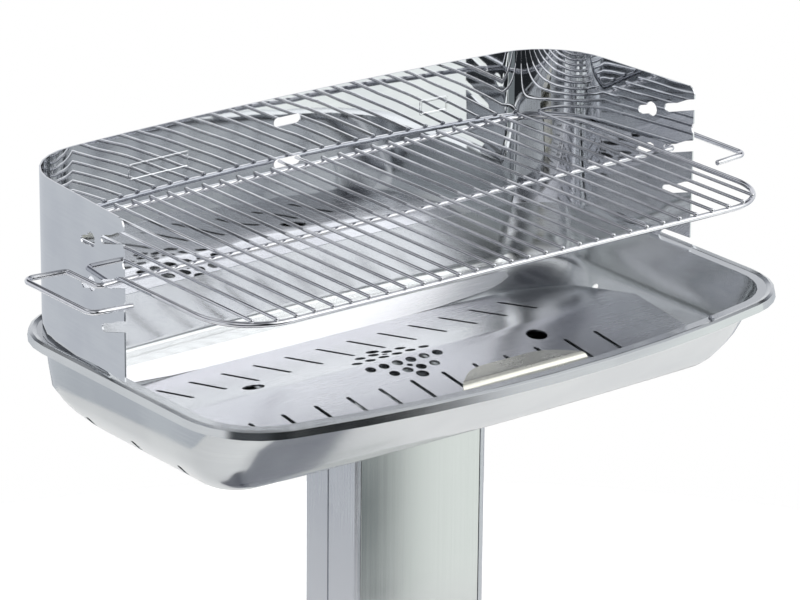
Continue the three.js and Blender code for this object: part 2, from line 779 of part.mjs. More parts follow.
// Rods on a frame and a long wire with a handle at each end; the middle rods run on into the rear slot.
function cookingGrill() {
  const corners = rectangle(-grillHalfWidth, grillHalfWidth, -grillHalfDepth, grillHalfDepth);
  const frame = wire(roundCorners(corners, grillCornerRadius, cornerSteps), railLevel, railRadius, wireSides, true);
  const rods = [];
  const cornerX = grillHalfWidth - grillCornerRadius;
  for (let i = 0; i < rodCount; i += 1) {
    const x = (i - (rodCount - 1) / 2) * rodPitch;
    const past = Math.max(Math.abs(x) - cornerX, 0);
    const halfLength = grillHalfDepth - grillCornerRadius + Math.sqrt(grillCornerRadius ** 2 - past ** 2);
    const isMiddle = Math.abs(x) < rodPitch;
    const rearEnd = isMiddle ? shieldBack + longRodReach : halfLength + railRadius;
    const ends = [vector(x, -halfLength - railRadius), vector(x, rearEnd)];
    rods.push(wire(ends, grillHeight, rodRadius, rodSides));
  }
  const slant = (handleOuterX - handleInnerX) * handleSlantShare;
  const rightHalf = [
    vector(handleInnerX, carryWireY),
    vector(handleInnerX, handleBackY - slant),
    vector(handleOuterX, handleBackY),
    vector(handleOuterX, -handleFrontY + slant),
    vector(handleTipX, -handleFrontY),
  ];
  const leftHalf = rightHalf.map((point) => vector(-point.x, point.y)).reverse();
  const bends = [
    handleTurnRadius, handleTurnRadius, handleBendRadius, handleBendRadius, 0,
  ];
  const carrying = roundCorners(
    [...leftHalf, ...rightHalf],
    [...bends.slice().reverse(), ...bends],
    4,
    false,
  );
  return joined([frame, wire(carrying, wireLevel, railRadius, wireSides), ...rods]);
}

// One side of the column: a channel with ledges for the panels and a screw port in each corner.
function columnProfile(side) {
  const half = columnDepth / 2;
  const inner = columnHalfWidth - profileWall;
  const faceX = columnHalfWidth - profileFace;
  const ledgeX = columnHalfWidth - profileLedge;
  const edge = [
    vector(faceX, -half), vector(columnHalfWidth, -half), vector(columnHalfWidth, half), vector(faceX, half),
  ];
  const hidden = [
    vector(faceX, ledgeY), vector(ledgeX, ledgeY),
    vector(ledgeX, ledgeY - profileWall), vector(inner, ledgeY - profileWall),
    vector(inner, -ledgeY + profileWall), vector(ledgeX, -ledgeY + profileWall),
    vector(ledgeX, -ledgeY), vector(faceX, -ledgeY),
  ];
  const radii = [0, columnEdgeRadius, columnEdgeRadius, 0, ...hidden.map(() => 0)];
  const outline = roundCorners([...edge, ...hidden], radii, 4);
  let body = uprightPrism(outline, columnBottom, columnTop);
  for (const end of [-1, 1]) {
    body = body.add(roundHole(portX, end * portY, portRadius, columnBottom, columnTop));
    const [low, high] = [columnBottom - cutOverrun, columnTop + cutOverrun];
    body = body.subtract(roundHole(portX, end * portY, screwRadius + screwClearance, low, high));
  }
  const grooveY = sideGrooveY - columnY;
  const groove = rectangle(
    columnHalfWidth - sideGrooveDepth,
    columnHalfWidth + cutOverrun,
    grooveY - sideGrooveWidth / 2,
    grooveY + sideGrooveWidth / 2,
  );
  body = body.subtract(uprightPrism(groove, columnBottom - cutOverrun, columnTop + cutOverrun));
  const placed = body.translate([0, columnY, 0]);
  return side > 0 ? placed : placed.mirror([1, 0, 0]);
}

// A front or rear panel: a flat sheet between the side profiles with a folded edge behind each ledge.
function columnPanel(side) {
  const halfWidth = columnHalfWidth - profileFace - panelGap;
  const half = columnDepth / 2;
  const foldX = columnHalfWidth - profileLedge - seatGap;
  const sheet = rectangle(-halfWidth, halfWidth, half - panelSheet, half);
  const body = uprightPrism(sheet, columnBottom, columnTop);
  const folds = [-1, 1].map((edge) => {
    const near = edge * (foldX - panelSheet);
    const far = edge * foldX;
    const fold = rectangle(Math.min(near, far), Math.max(near, far), half - panelFold, half - panelSheet / 2);
    return uprightPrism(fold, columnBottom + panelFoldLength, columnTop - panelFoldLength);
  });
  const placed = joined([body, ...folds]);
  const turnedBody = side > 0 ? placed : placed.mirror([0, 1, 0]);
  return turnedBody.translate([0, columnY, 0]);
}

function portPlaces() {
  return [-1, 1].flatMap((end) => [-1, 1].map((side) => [side * portX, columnY + end * portY]));
}

// A hole with a cone for a countersunk head, its wide end at the given face.
function countersink(x, y, face, depth, pointsDown) {
  const way = pointsDown ? -1 : 1;
  const neck = screwHeadRadius - screwRadius;
  const wide = screwHeadRadius + screwClearance;
  const narrow = screwRadius + screwClearance;
  return turned([
    [0, face - way * cutOverrun],
    [wide, face - way * cutOverrun],
    [wide, face],
    [narrow, face + way * neck],
    [narrow, face + way * (depth + cutOverrun)],
    [0, face + way * (depth + cutOverrun)],
  ], holeSides).translate([x, y, 0]);
}

function countersunkScrew(face, length, pointsDown) {
  const way = pointsDown ? -1 : 1;
  const neck = screwHeadRadius - screwRadius;
  const chamfer = screwRadius / 3;
  return turned([
    [0, face + way * screwClearance],
    [screwHeadRadius, face + way * screwClearance],
    [screwRadius, face + way * (screwClearance + neck)],
    [screwRadius, face + way * (length - chamfer)],
    [screwRadius - chamfer, face + way * length],
    [0, face + way * length],
  ]);
}

function trayCarrier() {
  const half = carrierHalfDepth;
  const path = roundCorners([
    vector(columnY - half, carrierTop - carrierSkirt),
    vector(columnY - half, carrierTop),
    vector(columnY + half, carrierTop),
    vector(columnY + half, carrierTop - carrierSkirt),
  ], [0, carrierBendRadius, carrierBendRadius, 0], 4, false);
  const section = sheetOutline(path, carrierSheet);
  const cutters = [];
  for (const side of [-1, 1]) {
    for (const end of [-1, 1]) {
      const radius = boltRadius + screwClearance;
      const [low, high] = [carrierTop - carrierSheet - cutOverrun, carrierTop + cutOverrun];
      cutters.push(roundHole(side * boltX, columnY + end * boltY, radius, low, high));
    }
  }
  portPlaces().forEach(([x, y]) => cutters.push(countersink(x, y, carrierTop, carrierSheet, true)));
  return cut(crosswisePrism(section, -carrierHalfWidth, carrierHalfWidth), cutters);
}

// A round-headed bolt that points down from a face.
function bolt(face, length) {
  const seat = face + seatGap;
  const rounding = boltHeadHeight / 2;
  return turned([
    [0, face - length],
    [boltRadius, face - length],
    [boltRadius, seat],
    [boltHeadRadius, seat],
    [boltHeadRadius, seat + rounding],
    [boltHeadRadius - rounding, seat + boltHeadHeight],
    [0, seat + boltHeadHeight],
  ]);
}

function nut(face) {
  const body = hexagon(nutFlats, face - seatGap - nutHeight, face - seatGap);
  const radius = boltRadius + screwClearance;
  return body.subtract(roundHole(0, 0, radius, face - nutHeight - cutOverrun, face + cutOverrun));
}

function rectanglePlaces(halfX, halfY) {
  return [-1, 1].flatMap((end) => [-1, 1].map((side) => [side * halfX, columnY + end * halfY]));
}

function columnFootPlate() {
  const outline = roundCorners(
    rectangle(
      -footPlateHalfWidth,
      footPlateHalfWidth,
      columnY - footPlateHalfDepth,
      columnY + footPlateHalfDepth,
    ),
    footPlateCornerRadius,
    4,
  );
  const low = footPlateTop - footPlateThickness;
  const plate = uprightPrism(outline, low, footPlateTop);
  const cutters = portPlaces().map(([x, y]) => countersink(x, y, low, footPlateThickness, false));
  for (const [x, y] of rectanglePlaces(footBoltX, footBoltY)) {
    const radius = boltRadius + screwClearance;
    cutters.push(roundHole(x, y, radius, low - cutOverrun, footPlateTop + cutOverrun));
  }
  return cut(plate, cutters);
}

function basePlate() {
  const ring = (inset, level) => {
    const corners = rectangle(
      -baseHalfWidth + inset,
      baseHalfWidth - inset,
      columnY - baseHalfDepth + inset,
      columnY + baseHalfDepth - inset,
    );
    return roundCorners(corners, baseCornerRadius - inset, cornerSteps)
      .map((point) => new THREE.Vector3(point.x, point.y, level));
  };
  const skirtBottom = baseTop - baseSheet - baseSkirt;
  const edgeRings = [0, 0.33, 0.67, 1].map((share) => {
    const angle = quarterTurn * share;
    return ring(baseEdgeRadius * (1 - Math.cos(angle)), baseTop - baseEdgeRadius * (1 - Math.sin(angle)));
  });
  const body = loft([
    ring(baseSheet, baseTop - baseSheet),
    ring(baseSheet, skirtBottom),
    ring(0, skirtBottom),
    ...edgeRings,
  ]);
  const cutters = [];
  const radius = boltRadius + screwClearance;
  const [low, high] = [baseTop - baseSheet - cutOverrun, baseTop + cutOverrun];
  for (const [x, y] of rectanglePlaces(footBoltX, footBoltY)) cutters.push(roundHole(x, y, radius, low, high));
  for (const [x, y] of rubberPlaces()) cutters.push(countersink(x, y, baseTop, baseSheet, true));
  return cut(body, cutters);
}

function rubberPlaces() {
  return rectanglePlaces(baseHalfWidth - rubberInset, baseHalfDepth - rubberInset);
}

function rubberFoot() {
  const body = turned([
    [0, 0],
    [rubberFootRadius - rubberChamfer, 0],
    [rubberFootRadius, rubberChamfer],
    [rubberTopRadius, rubberHeight],
    [0, rubberHeight],
  ], turnedSides * 2);
  return body.subtract(roundHole(
    0,
    0,
    screwRadius + screwClearance,
    rubberHeight - footScrewDepth,
    rubberHeight + cutOverrun,
  ));
}

const object = new THREE.Group();

function addPiece(name, body, look, place = [0, 0, 0]) {
  const [color, roughness, metalness] = look;
  const mesh = new THREE.Mesh(geometryOf(body), new THREE.MeshStandardMaterial({ color, roughness, metalness }));
  mesh.name = name;
  mesh.position.set(...place);
  object.add(mesh);
}

function addCopies(name, body, look, places) {
  places.forEach(([x, y], i) => addPiece(`${name}_${i + 1}`, body, look, [x, y, 0]));
}

// Colour, roughness and metalness
const brushed = [0xc3c4cc, 0.38, 1];
const polished = [0xd2d3d6, 0.14, 1];
const drawnWire = [0xd4d6da, 0.12, 1];
const mirror = [0xcfd0d4, 0.1, 1];
const satin = [0xb9bac2, 0.32, 1];
const plated = [0xa9abb0, 0.3, 1];
const rubber = [0x1c1c1e, 0.85, 0];

addPiece('fire_tray', fireTray(), polished);
addPiece('rim_stud', rimStud(), plated, [studX, studY, 0]);
addPiece('charcoal_grate', charcoalGrate(), brushed);
addPiece('grate_grip', grateGrip(), polished);
addPiece('windshield', windshield(), mirror);
addPiece('cooking_grill', cookingGrill(), drawnWire);
addPiece('tray_carrier', trayCarrier(), satin);
addPiece('column_profile_left', columnProfile(-1), satin);
addPiece('column_profile_right', columnProfile(1), satin);
addPiece('column_front_panel', columnPanel(-1), satin);
addPiece('column_rear_panel', columnPanel(1), satin);
addPiece('column_foot_plate', columnFootPlate(), satin);
addPiece('base_plate', basePlate(), satin);

const trayStack = traySheet + seatGap + carrierSheet + seatGap + nutHeight + boltEnd;
addCopies('tray_bolt', bolt(floorLevel, trayStack), plated, rectanglePlaces(boltX, boltY));
addCopies('tray_nut', nut(carrierTop - carrierSheet), plated, rectanglePlaces(boltX, boltY));
addCopies('carrier_screw', countersunkScrew(carrierTop, screwLength, true), plated, portPlaces());
const plateUnderside = footPlateTop - footPlateThickness;
addCopies('foot_plate_screw', countersunkScrew(plateUnderside, screwLength, false), plated, portPlaces());
const baseStack = footPlateThickness + seatGap + baseSheet + seatGap + nutHeight + boltEnd;
addCopies('base_bolt', bolt(footPlateTop, baseStack), plated, rectanglePlaces(footBoltX, footBoltY));
addCopies('base_nut', nut(baseTop - baseSheet), plated, rectanglePlaces(footBoltX, footBoltY));
addCopies('rubber_foot', rubberFoot(), rubber, rubberPlaces());
addCopies('foot_screw', countersunkScrew(baseTop, footScrewLength, true), plated, rubberPlaces());

// The origin moves under the middle of the footprint, halfway between the tray's front and rear.
object.position.y = (trayFront - trayRear) / 2;

export default object;
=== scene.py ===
import bmesh
import bpy
import math
from mathutils import Matrix, Vector


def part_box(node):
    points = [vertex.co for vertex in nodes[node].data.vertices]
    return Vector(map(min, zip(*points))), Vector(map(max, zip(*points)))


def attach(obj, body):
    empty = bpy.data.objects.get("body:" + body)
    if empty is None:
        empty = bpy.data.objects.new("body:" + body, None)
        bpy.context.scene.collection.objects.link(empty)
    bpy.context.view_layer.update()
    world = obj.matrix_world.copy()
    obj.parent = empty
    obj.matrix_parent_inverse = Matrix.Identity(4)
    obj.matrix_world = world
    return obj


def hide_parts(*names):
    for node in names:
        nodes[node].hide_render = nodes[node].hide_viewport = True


# A stainless charcoal barbecue on a column. The CAD nodes give every place and size. The sheets
# get eased edges and smooth bends here, the grill is drawn again as round wire with its welds,
# and every piece gets the finish of its real metal or rubber.
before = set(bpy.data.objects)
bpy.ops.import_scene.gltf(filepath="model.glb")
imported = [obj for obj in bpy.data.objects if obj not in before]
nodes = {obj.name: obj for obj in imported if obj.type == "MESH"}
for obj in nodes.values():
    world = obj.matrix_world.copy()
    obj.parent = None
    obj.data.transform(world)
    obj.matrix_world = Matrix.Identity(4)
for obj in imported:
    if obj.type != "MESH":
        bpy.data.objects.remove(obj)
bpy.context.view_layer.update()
mm = 0.001  # sizes below are in millimetres, Blender's are in metres
print("frame:", len(nodes), "nodes")


# sRGB hex to linear.
def linearColour(hexColour):
    parts = [int(hexColour[i:i + 2], 16) / 255 for i in (1, 3, 5)]
    return [p / 12.92 if p <= 0.04045 else ((p + 0.055) / 1.055) ** 2.4 for p in parts] + [1]


# Adds a node. Settings are its own properties, and inputs are values or the sockets to link.
def addNode(tree, kind, settings=None, inputs=None):
    node = tree.nodes.new(kind)
    for key, value in (settings or {}).items():
        setattr(node, key, value)
    for key, value in (inputs or {}).items():
        if isinstance(value, bpy.types.NodeSocket):
            tree.links.new(value, node.inputs[key])
        else:
            node.inputs[key].default_value = value
    return node


def emptyMaterial(name):
    material = bpy.data.materials.new(name)
    material.use_nodes = True
    material.node_tree.nodes.clear()
    return material, material.node_tree


# Noise stays near its middle, so only this part of it is spread over a finish's range.
noise = {
    "toneLow": 0.34, "toneHigh": 0.66, "roughLow": 0.3, "roughHigh": 0.7,
    "cloudDetail": 3.0, "grainDetail": 2.0, "waveDetail": 1.0,
}


# A metal sheet or wire: cloudy tone, a grain of its own size along x, y and z, and long soft waves.
# Real rolling, brushing and polishing lines are usually 0.02 to 0.2 mm wide. They would vanish in
# the picture, so each grain is drawn as coarse as it needs to show. All sizes are millimetres.
def metalFinish(look):
    material, tree = emptyMaterial(look["name"])
    place = addNode(tree, "ShaderNodeTexCoord").outputs["Object"]
    clouds = addNode(tree, "ShaderNodeTexNoise", None, {
        "Vector": place, "Scale": 1 / (look["cloudSize"] * mm), "Detail": noise["cloudDetail"],
    })
    grainScale = [1 / (size * mm) for size in look["grainSize"]]
    stretched = addNode(tree, "ShaderNodeMapping", None, {"Vector": place, "Scale": grainScale})
    grain = addNode(tree, "ShaderNodeTexNoise", None, {
        "Vector": stretched.outputs["Vector"], "Scale": 1.0, "Detail": noise["grainDetail"],
    })
    tone = addNode(tree, "ShaderNodeMix", {"data_type": "FLOAT"}, {
        "Factor": look["grainShare"], "A": clouds.outputs["Fac"], "B": grain.outputs["Fac"],
    })
    spread = addNode(tree, "ShaderNodeMapRange", {"interpolation_type": "SMOOTHSTEP"}, {
        "Value": tone.outputs[0], "From Min": noise["toneLow"], "From Max": noise["toneHigh"],
    })
    colour = addNode(tree, "ShaderNodeMix", {"data_type": "RGBA"}, {
        "Factor": spread.outputs["Result"],
        "A": linearColour(look["darkColour"]), "B": linearColour(look["colour"]),
    })
    rough = addNode(tree, "ShaderNodeMapRange", None, {
        "Value": tone.outputs[0], "From Min": noise["roughLow"], "From Max": noise["roughHigh"],
        "To Min": look["roughness"][0], "To Max": look["roughness"][1],
    })
    waves = addNode(tree, "ShaderNodeTexNoise", None, {
        "Vector": place, "Scale": 1 / (look["waveSize"] * mm), "Detail": noise["waveDetail"],
    })
    waveBump = addNode(tree, "ShaderNodeBump", None, {
        "Strength": 1.0, "Distance": look["waveHeight"] * mm, "Height": waves.outputs["Fac"],
    })
    grainBump = addNode(tree, "ShaderNodeBump", None, {
        "Strength": 1.0, "Distance": look["grainHeight"] * mm,
        "Height": grain.outputs["Fac"], "Normal": waveBump.outputs["Normal"],
    })
    surface = addNode(tree, "ShaderNodeBsdfPrincipled", None, {
        "Base Color": colour.outputs["Result"], "Metallic": 1.0,
        "Roughness": rough.outputs["Result"], "Normal": grainBump.outputs["Normal"],
    })
    addNode(tree, "ShaderNodeOutputMaterial", None, {"Surface": surface.outputs["BSDF"]})
    return material


# Deep-pressed from bright annealed sheet: an almost mirror skin with the press's long soft waves.
# Its rolling grain is about 0.1 mm and is drawn 1.6 mm wide.
pressedTray = metalFinish({
    "name": "bright annealed stainless, pressed",
    "colour": "#d6d9da", "darkColour": "#cccfd1", "roughness": (0.1, 0.19),
    "cloudSize": 70, "grainSize": (60, 60, 1.6), "grainShare": 0.25, "grainHeight": 0.004,
    "waveSize": 95, "waveHeight": 0.5,
})
# Cut and rolled from mirror sheet: sharp reflections that swim where the sheet was bent.
# Its last polishing marks are about 0.02 mm and are drawn 2 mm wide.
mirrorShield = metalFinish({
    "name": "mirror-polished stainless sheet",
    "colour": "#e0e2e4", "darkColour": "#d6d8dc", "roughness": (0.012, 0.035),
    "cloudSize": 60, "grainSize": (40, 40, 2), "grainShare": 0.2, "grainHeight": 0.001,
    "waveSize": 80, "waveHeight": 0.45,
})
# Belt-brushed flat before it was folded: fine lines along the sheet, a pale even sheen.
# The belt's lines are about 0.1 mm and are drawn 0.6 mm wide.
brushedGrate = metalFinish({
    "name": "brushed stainless sheet",
    "colour": "#e6e7eb", "darkColour": "#dcdde2", "roughness": (0.21, 0.29),
    "cloudSize": 90, "grainSize": (60, 0.6, 0.6), "grainShare": 0.55, "grainHeight": 0.004,
    "waveSize": 150, "waveHeight": 0.1,
})
# Buffed after bending: smooth and pale, with a warm haze from the wheel.
# The wheel's lines are about 0.05 mm and are drawn 2 mm wide.
buffedGrip = metalFinish({
    "name": "buffed stainless",
    "colour": "#dddcd3", "darkColour": "#d2d1c7", "roughness": (0.2, 0.3),
    "cloudSize": 30, "grainSize": (25, 2, 2), "grainShare": 0.3, "grainHeight": 0.002,
    "waveSize": 60, "waveHeight": 0.15,
})
# Pulled through a die and left bright: near to a mirror, a little duller where the die dragged.
# The wires run both ways, so the drag marks are drawn as soft spots, 6 mm wide to show.
drawnWire = metalFinish({
    "name": "bright drawn stainless wire",
    "colour": "#e6e7ea", "darkColour": "#d3d4d9", "roughness": (0.03, 0.09),
    "cloudSize": 25, "grainSize": (6, 6, 6), "grainShare": 0.4, "grainHeight": 0.004,
    "waveSize": 40, "waveHeight": 0.05,
})
# Brushed up and down the column: long upright lines, softer reflections.
# The lines are about 0.1 mm and are drawn 0.8 mm wide.
satinColumn = metalFinish({
    "name": "satin stainless, brushed upright",
    "colour": "#c6c9ce", "darkColour": "#bdc0c6", "roughness": (0.2, 0.32),
    "cloudSize": 120, "grainSize": (0.8, 0.8, 220), "grainShare": 0.4, "grainHeight": 0.003,
    "waveSize": 200, "waveHeight": 0.15,
})
# The column's flat panels stay bright from the mill: a soft mirror with a faint upright grain.
# The grain is about 0.1 mm and is drawn 0.9 mm wide.
brightPanel = metalFinish({
    "name": "bright annealed stainless sheet",
    "colour": "#d3d6d5", "darkColour": "#cbcecd", "roughness": (0.09, 0.15),
    "cloudSize": 130, "grainSize": (0.9, 0.9, 260), "grainShare": 0.3, "grainHeight": 0.001,
    "waveSize": 220, "waveHeight": 0.2,
})
# Brushed along its length before it was pressed: the base shows lines from side to side.
# The lines are about 0.2 mm and are drawn 1.1 mm wide.
satinBase = metalFinish({
    "name": "satin stainless, brushed across",
    "colour": "#c9cad1", "darkColour": "#b4b5be", "roughness": (0.26, 0.4),
    "cloudSize": 80, "grainSize": (120, 1.1, 1.1), "grainShare": 0.6, "grainHeight": 0.012,
    "waveSize": 140, "waveHeight": 0.25,
})
# Zinc plated in a barrel: a dull bluish grey with knocks on it, about 1.2 mm wide.
platedFastener = metalFinish({
    "name": "barrel-plated zinc on steel",
    "colour": "#c1c4c9", "darkColour": "#9da0a8", "roughness": (0.25, 0.45),
    "cloudSize": 4, "grainSize": (1.2, 1.2, 1.2), "grainShare": 0.5, "grainHeight": 0.02,
    "waveSize": 10, "waveHeight": 0.05,
})


# Moulded rubber: black with a grey bloom, and the fine pits of a sparked mould.
# The pits are about 0.1 mm and are drawn 1.1 mm wide.
def rubberFinish(look):
    material, tree = emptyMaterial(look["name"])
    place = addNode(tree, "ShaderNodeTexCoord").outputs["Object"]
    bloom = addNode(tree, "ShaderNodeTexNoise", None, {
        "Vector": place, "Scale": 1 / (look["bloomSize"] * mm), "Detail": look["bloomDetail"],
    })
    pits = addNode(tree, "ShaderNodeTexNoise", None, {
        "Vector": place, "Scale": 1 / (look["pitSize"] * mm), "Detail": look["pitDetail"],
    })
    colour = addNode(tree, "ShaderNodeMix", {"data_type": "RGBA"}, {
        "Factor": bloom.outputs["Fac"],
        "A": linearColour(look["colour"]), "B": linearColour(look["bloomColour"]),
    })
    bump = addNode(tree, "ShaderNodeBump", None, {
        "Strength": 1.0, "Distance": look["pitDepth"] * mm, "Height": pits.outputs["Fac"],
    })
    rough = addNode(tree, "ShaderNodeMapRange", None, {
        "Value": bloom.outputs["Fac"],
        "To Min": look["roughness"][0], "To Max": look["roughness"][1],
    })
    surface = addNode(tree, "ShaderNodeBsdfPrincipled", None, {
        "Base Color": colour.outputs["Result"], "Roughness": rough.outputs["Result"],
        "IOR": look["ior"], "Normal": bump.outputs["Normal"],
    })
    addNode(tree, "ShaderNodeOutputMaterial", None, {"Surface": surface.outputs["BSDF"]})
    return material


mouldedRubber = rubberFinish({
    "name": "moulded rubber",
    "colour": "#19191b", "bloomColour": "#2b2b2e",
    "bloomSize": 9, "bloomDetail": 4.0, "pitSize": 1.1, "pitDetail": 2.0, "pitDepth": 0.05,
    "roughness": (0.62, 0.9), "ior": 1.52,
})
print("finishes made")


# The node's own shape with eased edges, and bends that shade as one smooth sheet.
def easedPiece(nodeName, body, material, ease):
    mesh = nodes[nodeName].data.copy()
    mesh.name = nodeName + "_eased"
    shape = bmesh.new()
    shape.from_mesh(mesh)
    bmesh.ops.remove_doubles(shape, verts=shape.verts, dist=ease["weld"] * mm)
    bmesh.ops.dissolve_limit(
        shape, angle_limit=math.radians(ease["flatAngle"]), verts=shape.verts, edges=shape.edges,
    )
    for face in shape.faces:
        face.smooth = True
    shape.to_mesh(mesh)
    shape.free()
    mesh.materials.clear()
    mesh.materials.append(material)
    piece = bpy.data.objects.new(nodeName + "_eased", mesh)
    bpy.context.scene.collection.objects.link(piece)
    rounding = piece.modifiers.new("eased edges", "BEVEL")
    rounding.width = ease["edge"] * mm
    rounding.segments = ease["segments"]
    rounding.limit_method = "ANGLE"
    rounding.angle_limit = math.radians(ease["edgeAngle"])
    shading = piece.modifiers.new("smooth bends", "WEIGHTED_NORMAL")
    shading.keep_sharp = True
    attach(piece, body)
    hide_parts(nodeName)


# Lengths in millimetres and angles in degrees. Faces that meet flatter than flatAngle become one,
# and edges sharper than edgeAngle are eased.
thinSheet = {"weld": 0.001, "flatAngle": 0.5, "edge": 0.3, "segments": 2, "edgeAngle": 38}
trayEdges = {"weld": 0.001, "flatAngle": 0.5, "edge": 0.55, "segments": 3, "edgeAngle": 38}
thickPlate = {"weld": 0.001, "flatAngle": 0.5, "edge": 0.7, "segments": 2, "edgeAngle": 38}

easedPiece("fire_tray", "stand", pressedTray, trayEdges)
easedPiece("windshield", "shield", mirrorShield, thinSheet)
easedPiece("charcoal_grate", "grate", brushedGrate, thinSheet)
easedPiece("grate_grip", "grate", buffedGrip, thinSheet)
easedPiece("tray_carrier", "stand", satinBase, thickPlate)
for side in ("left", "right"):
    easedPiece("column_profile_" + side, "stand", satinColumn, thinSheet)
for side in ("front", "rear"):
    easedPiece("column_" + side + "_panel", "stand", brightPanel, thinSheet)
easedPiece("column_foot_plate", "stand", satinBase, thickPlate)
easedPiece("base_plate", "stand", satinBase, thickPlate)
for name, node in nodes.items():
    if name.startswith("rubber_foot"):
        easedPiece(name, "stand", mouldedRubber, thickPlate)
    elif any(word in name for word in ("bolt", "nut", "screw", "stud")):
        node.material_slots[0].material = platedFastener
print("sheets and blocks dressed")


# The grill, drawn as welded round wire on the places of its CAD node, with the CAD's own sizes.
grill = {
    "rodCount": 30, "rodPitch": 18.5, "rodWire": 3.0, "railWire": 5.0, "melt": 0.3,
    "cornerRadius": 55, "halfWidth": 290.75, "halfDepth": 155.5,
    "carryY": 9, "carryDrop": 6.6, "handleInner": 312, "handleTip": 315,
    "handleBack": 60, "handleFront": 46, "slantShare": 0.12, "bend": 9, "turn": 5,
    "sides": 16, "bendSteps": 8, "weldReach": 2.2, "weldSwell": 1.16, "swellTop": 0.4,
    "domeStart": 0.35, "domeEnd": 0.08, "domeWidth": 0.82,  # shares of the wire's radius
}
grillLow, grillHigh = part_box("cooking_grill")
railRadius = grill["railWire"] / 2
rodRadius = grill["rodWire"] / 2
rodLevel = grillHigh.z / mm - rodRadius
middleY = grillLow.y / mm + railRadius + grill["halfDepth"]
handleOuter = grillHigh.x / mm - railRadius
longRodEnd = grillHigh.y / mm - middleY
railLevel = rodLevel - rodRadius - railRadius + grill["melt"]
carryLevel = rodLevel - grill["carryDrop"]


# A path of (x, y) corners with tangent arcs of the given radii. A radius of 0 keeps the corner.
def roundedPath(corners, radii, steps, closed):
    path = []
    count = len(corners)
    for i, corner in enumerate(corners):
        here = Vector(corner)
        if radii[i] == 0 or (not closed and i in (0, count - 1)):
            path.append(here)
            continue
        toBefore = (Vector(corners[i - 1]) - here).normalized()
        toAfter = (Vector(corners[(i + 1) % count]) - here).normalized()
        half = toBefore.angle(toAfter) / 2
        centre = here + (toBefore + toAfter).normalized() * (radii[i] / math.sin(half))
        start = here + toBefore * (radii[i] / math.tan(half)) - centre
        end = here + toAfter * (radii[i] / math.tan(half)) - centre
        turn = start.angle_signed(end)
        for step in range(steps + 1):
            path.append(centre + Matrix.Rotation(-turn * step / steps, 2) @ start)
    return path


# Adds a round wire along a level path, all in millimetres. Open ends are domed, and the wire's
# radius is multiplied where the swells give a share for a point of the path.
def addWire(shape, path, level, radius, sides, closed=False, swells=None):
    rings = []
    count = len(path)
    for i, point in enumerate(path):
        before = path[i - 1] if closed or i > 0 else path[i]
        after = path[(i + 1) % count] if closed or i < count - 1 else path[i]
        along = (after - before).normalized()
        across = Vector((-along.y, along.x))
        rings.append((point, across, swells[i] if swells else 1.0))
    if not closed:
        for end, inner in ((0, 1), (-1, -2)):
            point, across, _ = rings[end]
            outwards = (path[end] - path[inner]).normalized()
            rings[end] = (point - outwards * radius * grill["domeStart"], across, 1.0)
            cap = (point - outwards * radius * grill["domeEnd"], across, grill["domeWidth"])
            rings.insert(0 if end == 0 else len(rings), cap)
    loops = []
    for point, across, share in rings:
        loop = []
        for k in range(sides):
            angle = 2 * math.pi * k / sides
            place = point + across * (math.cos(angle) * radius * share)
            height = level + math.sin(angle) * radius * share
            loop.append(shape.verts.new((place.x * mm, (place.y + middleY) * mm, height * mm)))
        loops.append(loop)
    bands = len(loops) if closed else len(loops) - 1
    for i in range(bands):
        lower, upper = loops[i], loops[(i + 1) % len(loops)]
        for k in range(sides):
            nextOne = (k + 1) % sides
            shape.faces.new((lower[k], lower[nextOne], upper[nextOne], upper[k]))
    if not closed:
        shape.faces.new(loops[0])
        shape.faces.new(list(reversed(loops[-1])))


def grillPiece(name, build):
    shape = bmesh.new()
    build(shape)
    bmesh.ops.recalc_face_normals(shape, faces=shape.faces)
    for face in shape.faces:
        face.smooth = True
    mesh = bpy.data.meshes.new(name)
    shape.to_mesh(mesh)
    shape.free()
    mesh.materials.append(drawnWire)
    piece = bpy.data.objects.new(name, mesh)
    bpy.context.scene.collection.objects.link(piece)
    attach(piece, "grill")
    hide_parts("cooking_grill")


# Each rod's x and half its length, shorter where the frame's corners turn in.
def rodPlaces():
    corner = grill["cornerRadius"]
    for i in range(grill["rodCount"]):
        x = (i - (grill["rodCount"] - 1) / 2) * grill["rodPitch"]
        past = max(abs(x) - grill["halfWidth"] + corner, 0)
        halfLength = grill["halfDepth"] - corner + math.sqrt(corner ** 2 - past ** 2)
        yield x, halfLength


# Each rod swells where it was melted into the front rail, the long wire and the rear rail.
def buildRods(shape):
    swellTop, weldSwell = grill["swellTop"], grill["weldSwell"]
    weld = ((-1, 1.0), (-swellTop, weldSwell), (swellTop, weldSwell), (1, 1.0))
    for x, halfLength in rodPlaces():
        isMiddle = abs(x) < grill["rodPitch"]
        rearEnd = longRodEnd if isMiddle else halfLength + railRadius
        path, swells = [Vector((x, -halfLength - railRadius))], [1.0]
        for crossing in (-halfLength, grill["carryY"], halfLength):
            for reach, swell in weld:
                path.append(Vector((x, crossing + reach * grill["weldReach"])))
                swells.append(swell)
        path.append(Vector((x, rearEnd)))
        swells.append(1.0)
        addWire(shape, path, rodLevel, rodRadius, grill["sides"], False, swells)


def buildFrame(shape):
    wide, deep = grill["halfWidth"], grill["halfDepth"]
    corners = [(-wide, -deep), (wide, -deep), (wide, deep), (-wide, deep)]
    path = roundedPath(corners, [grill["cornerRadius"]] * 4, grill["bendSteps"] * 2, True)
    addWire(shape, path, railLevel, railRadius, grill["sides"], True)


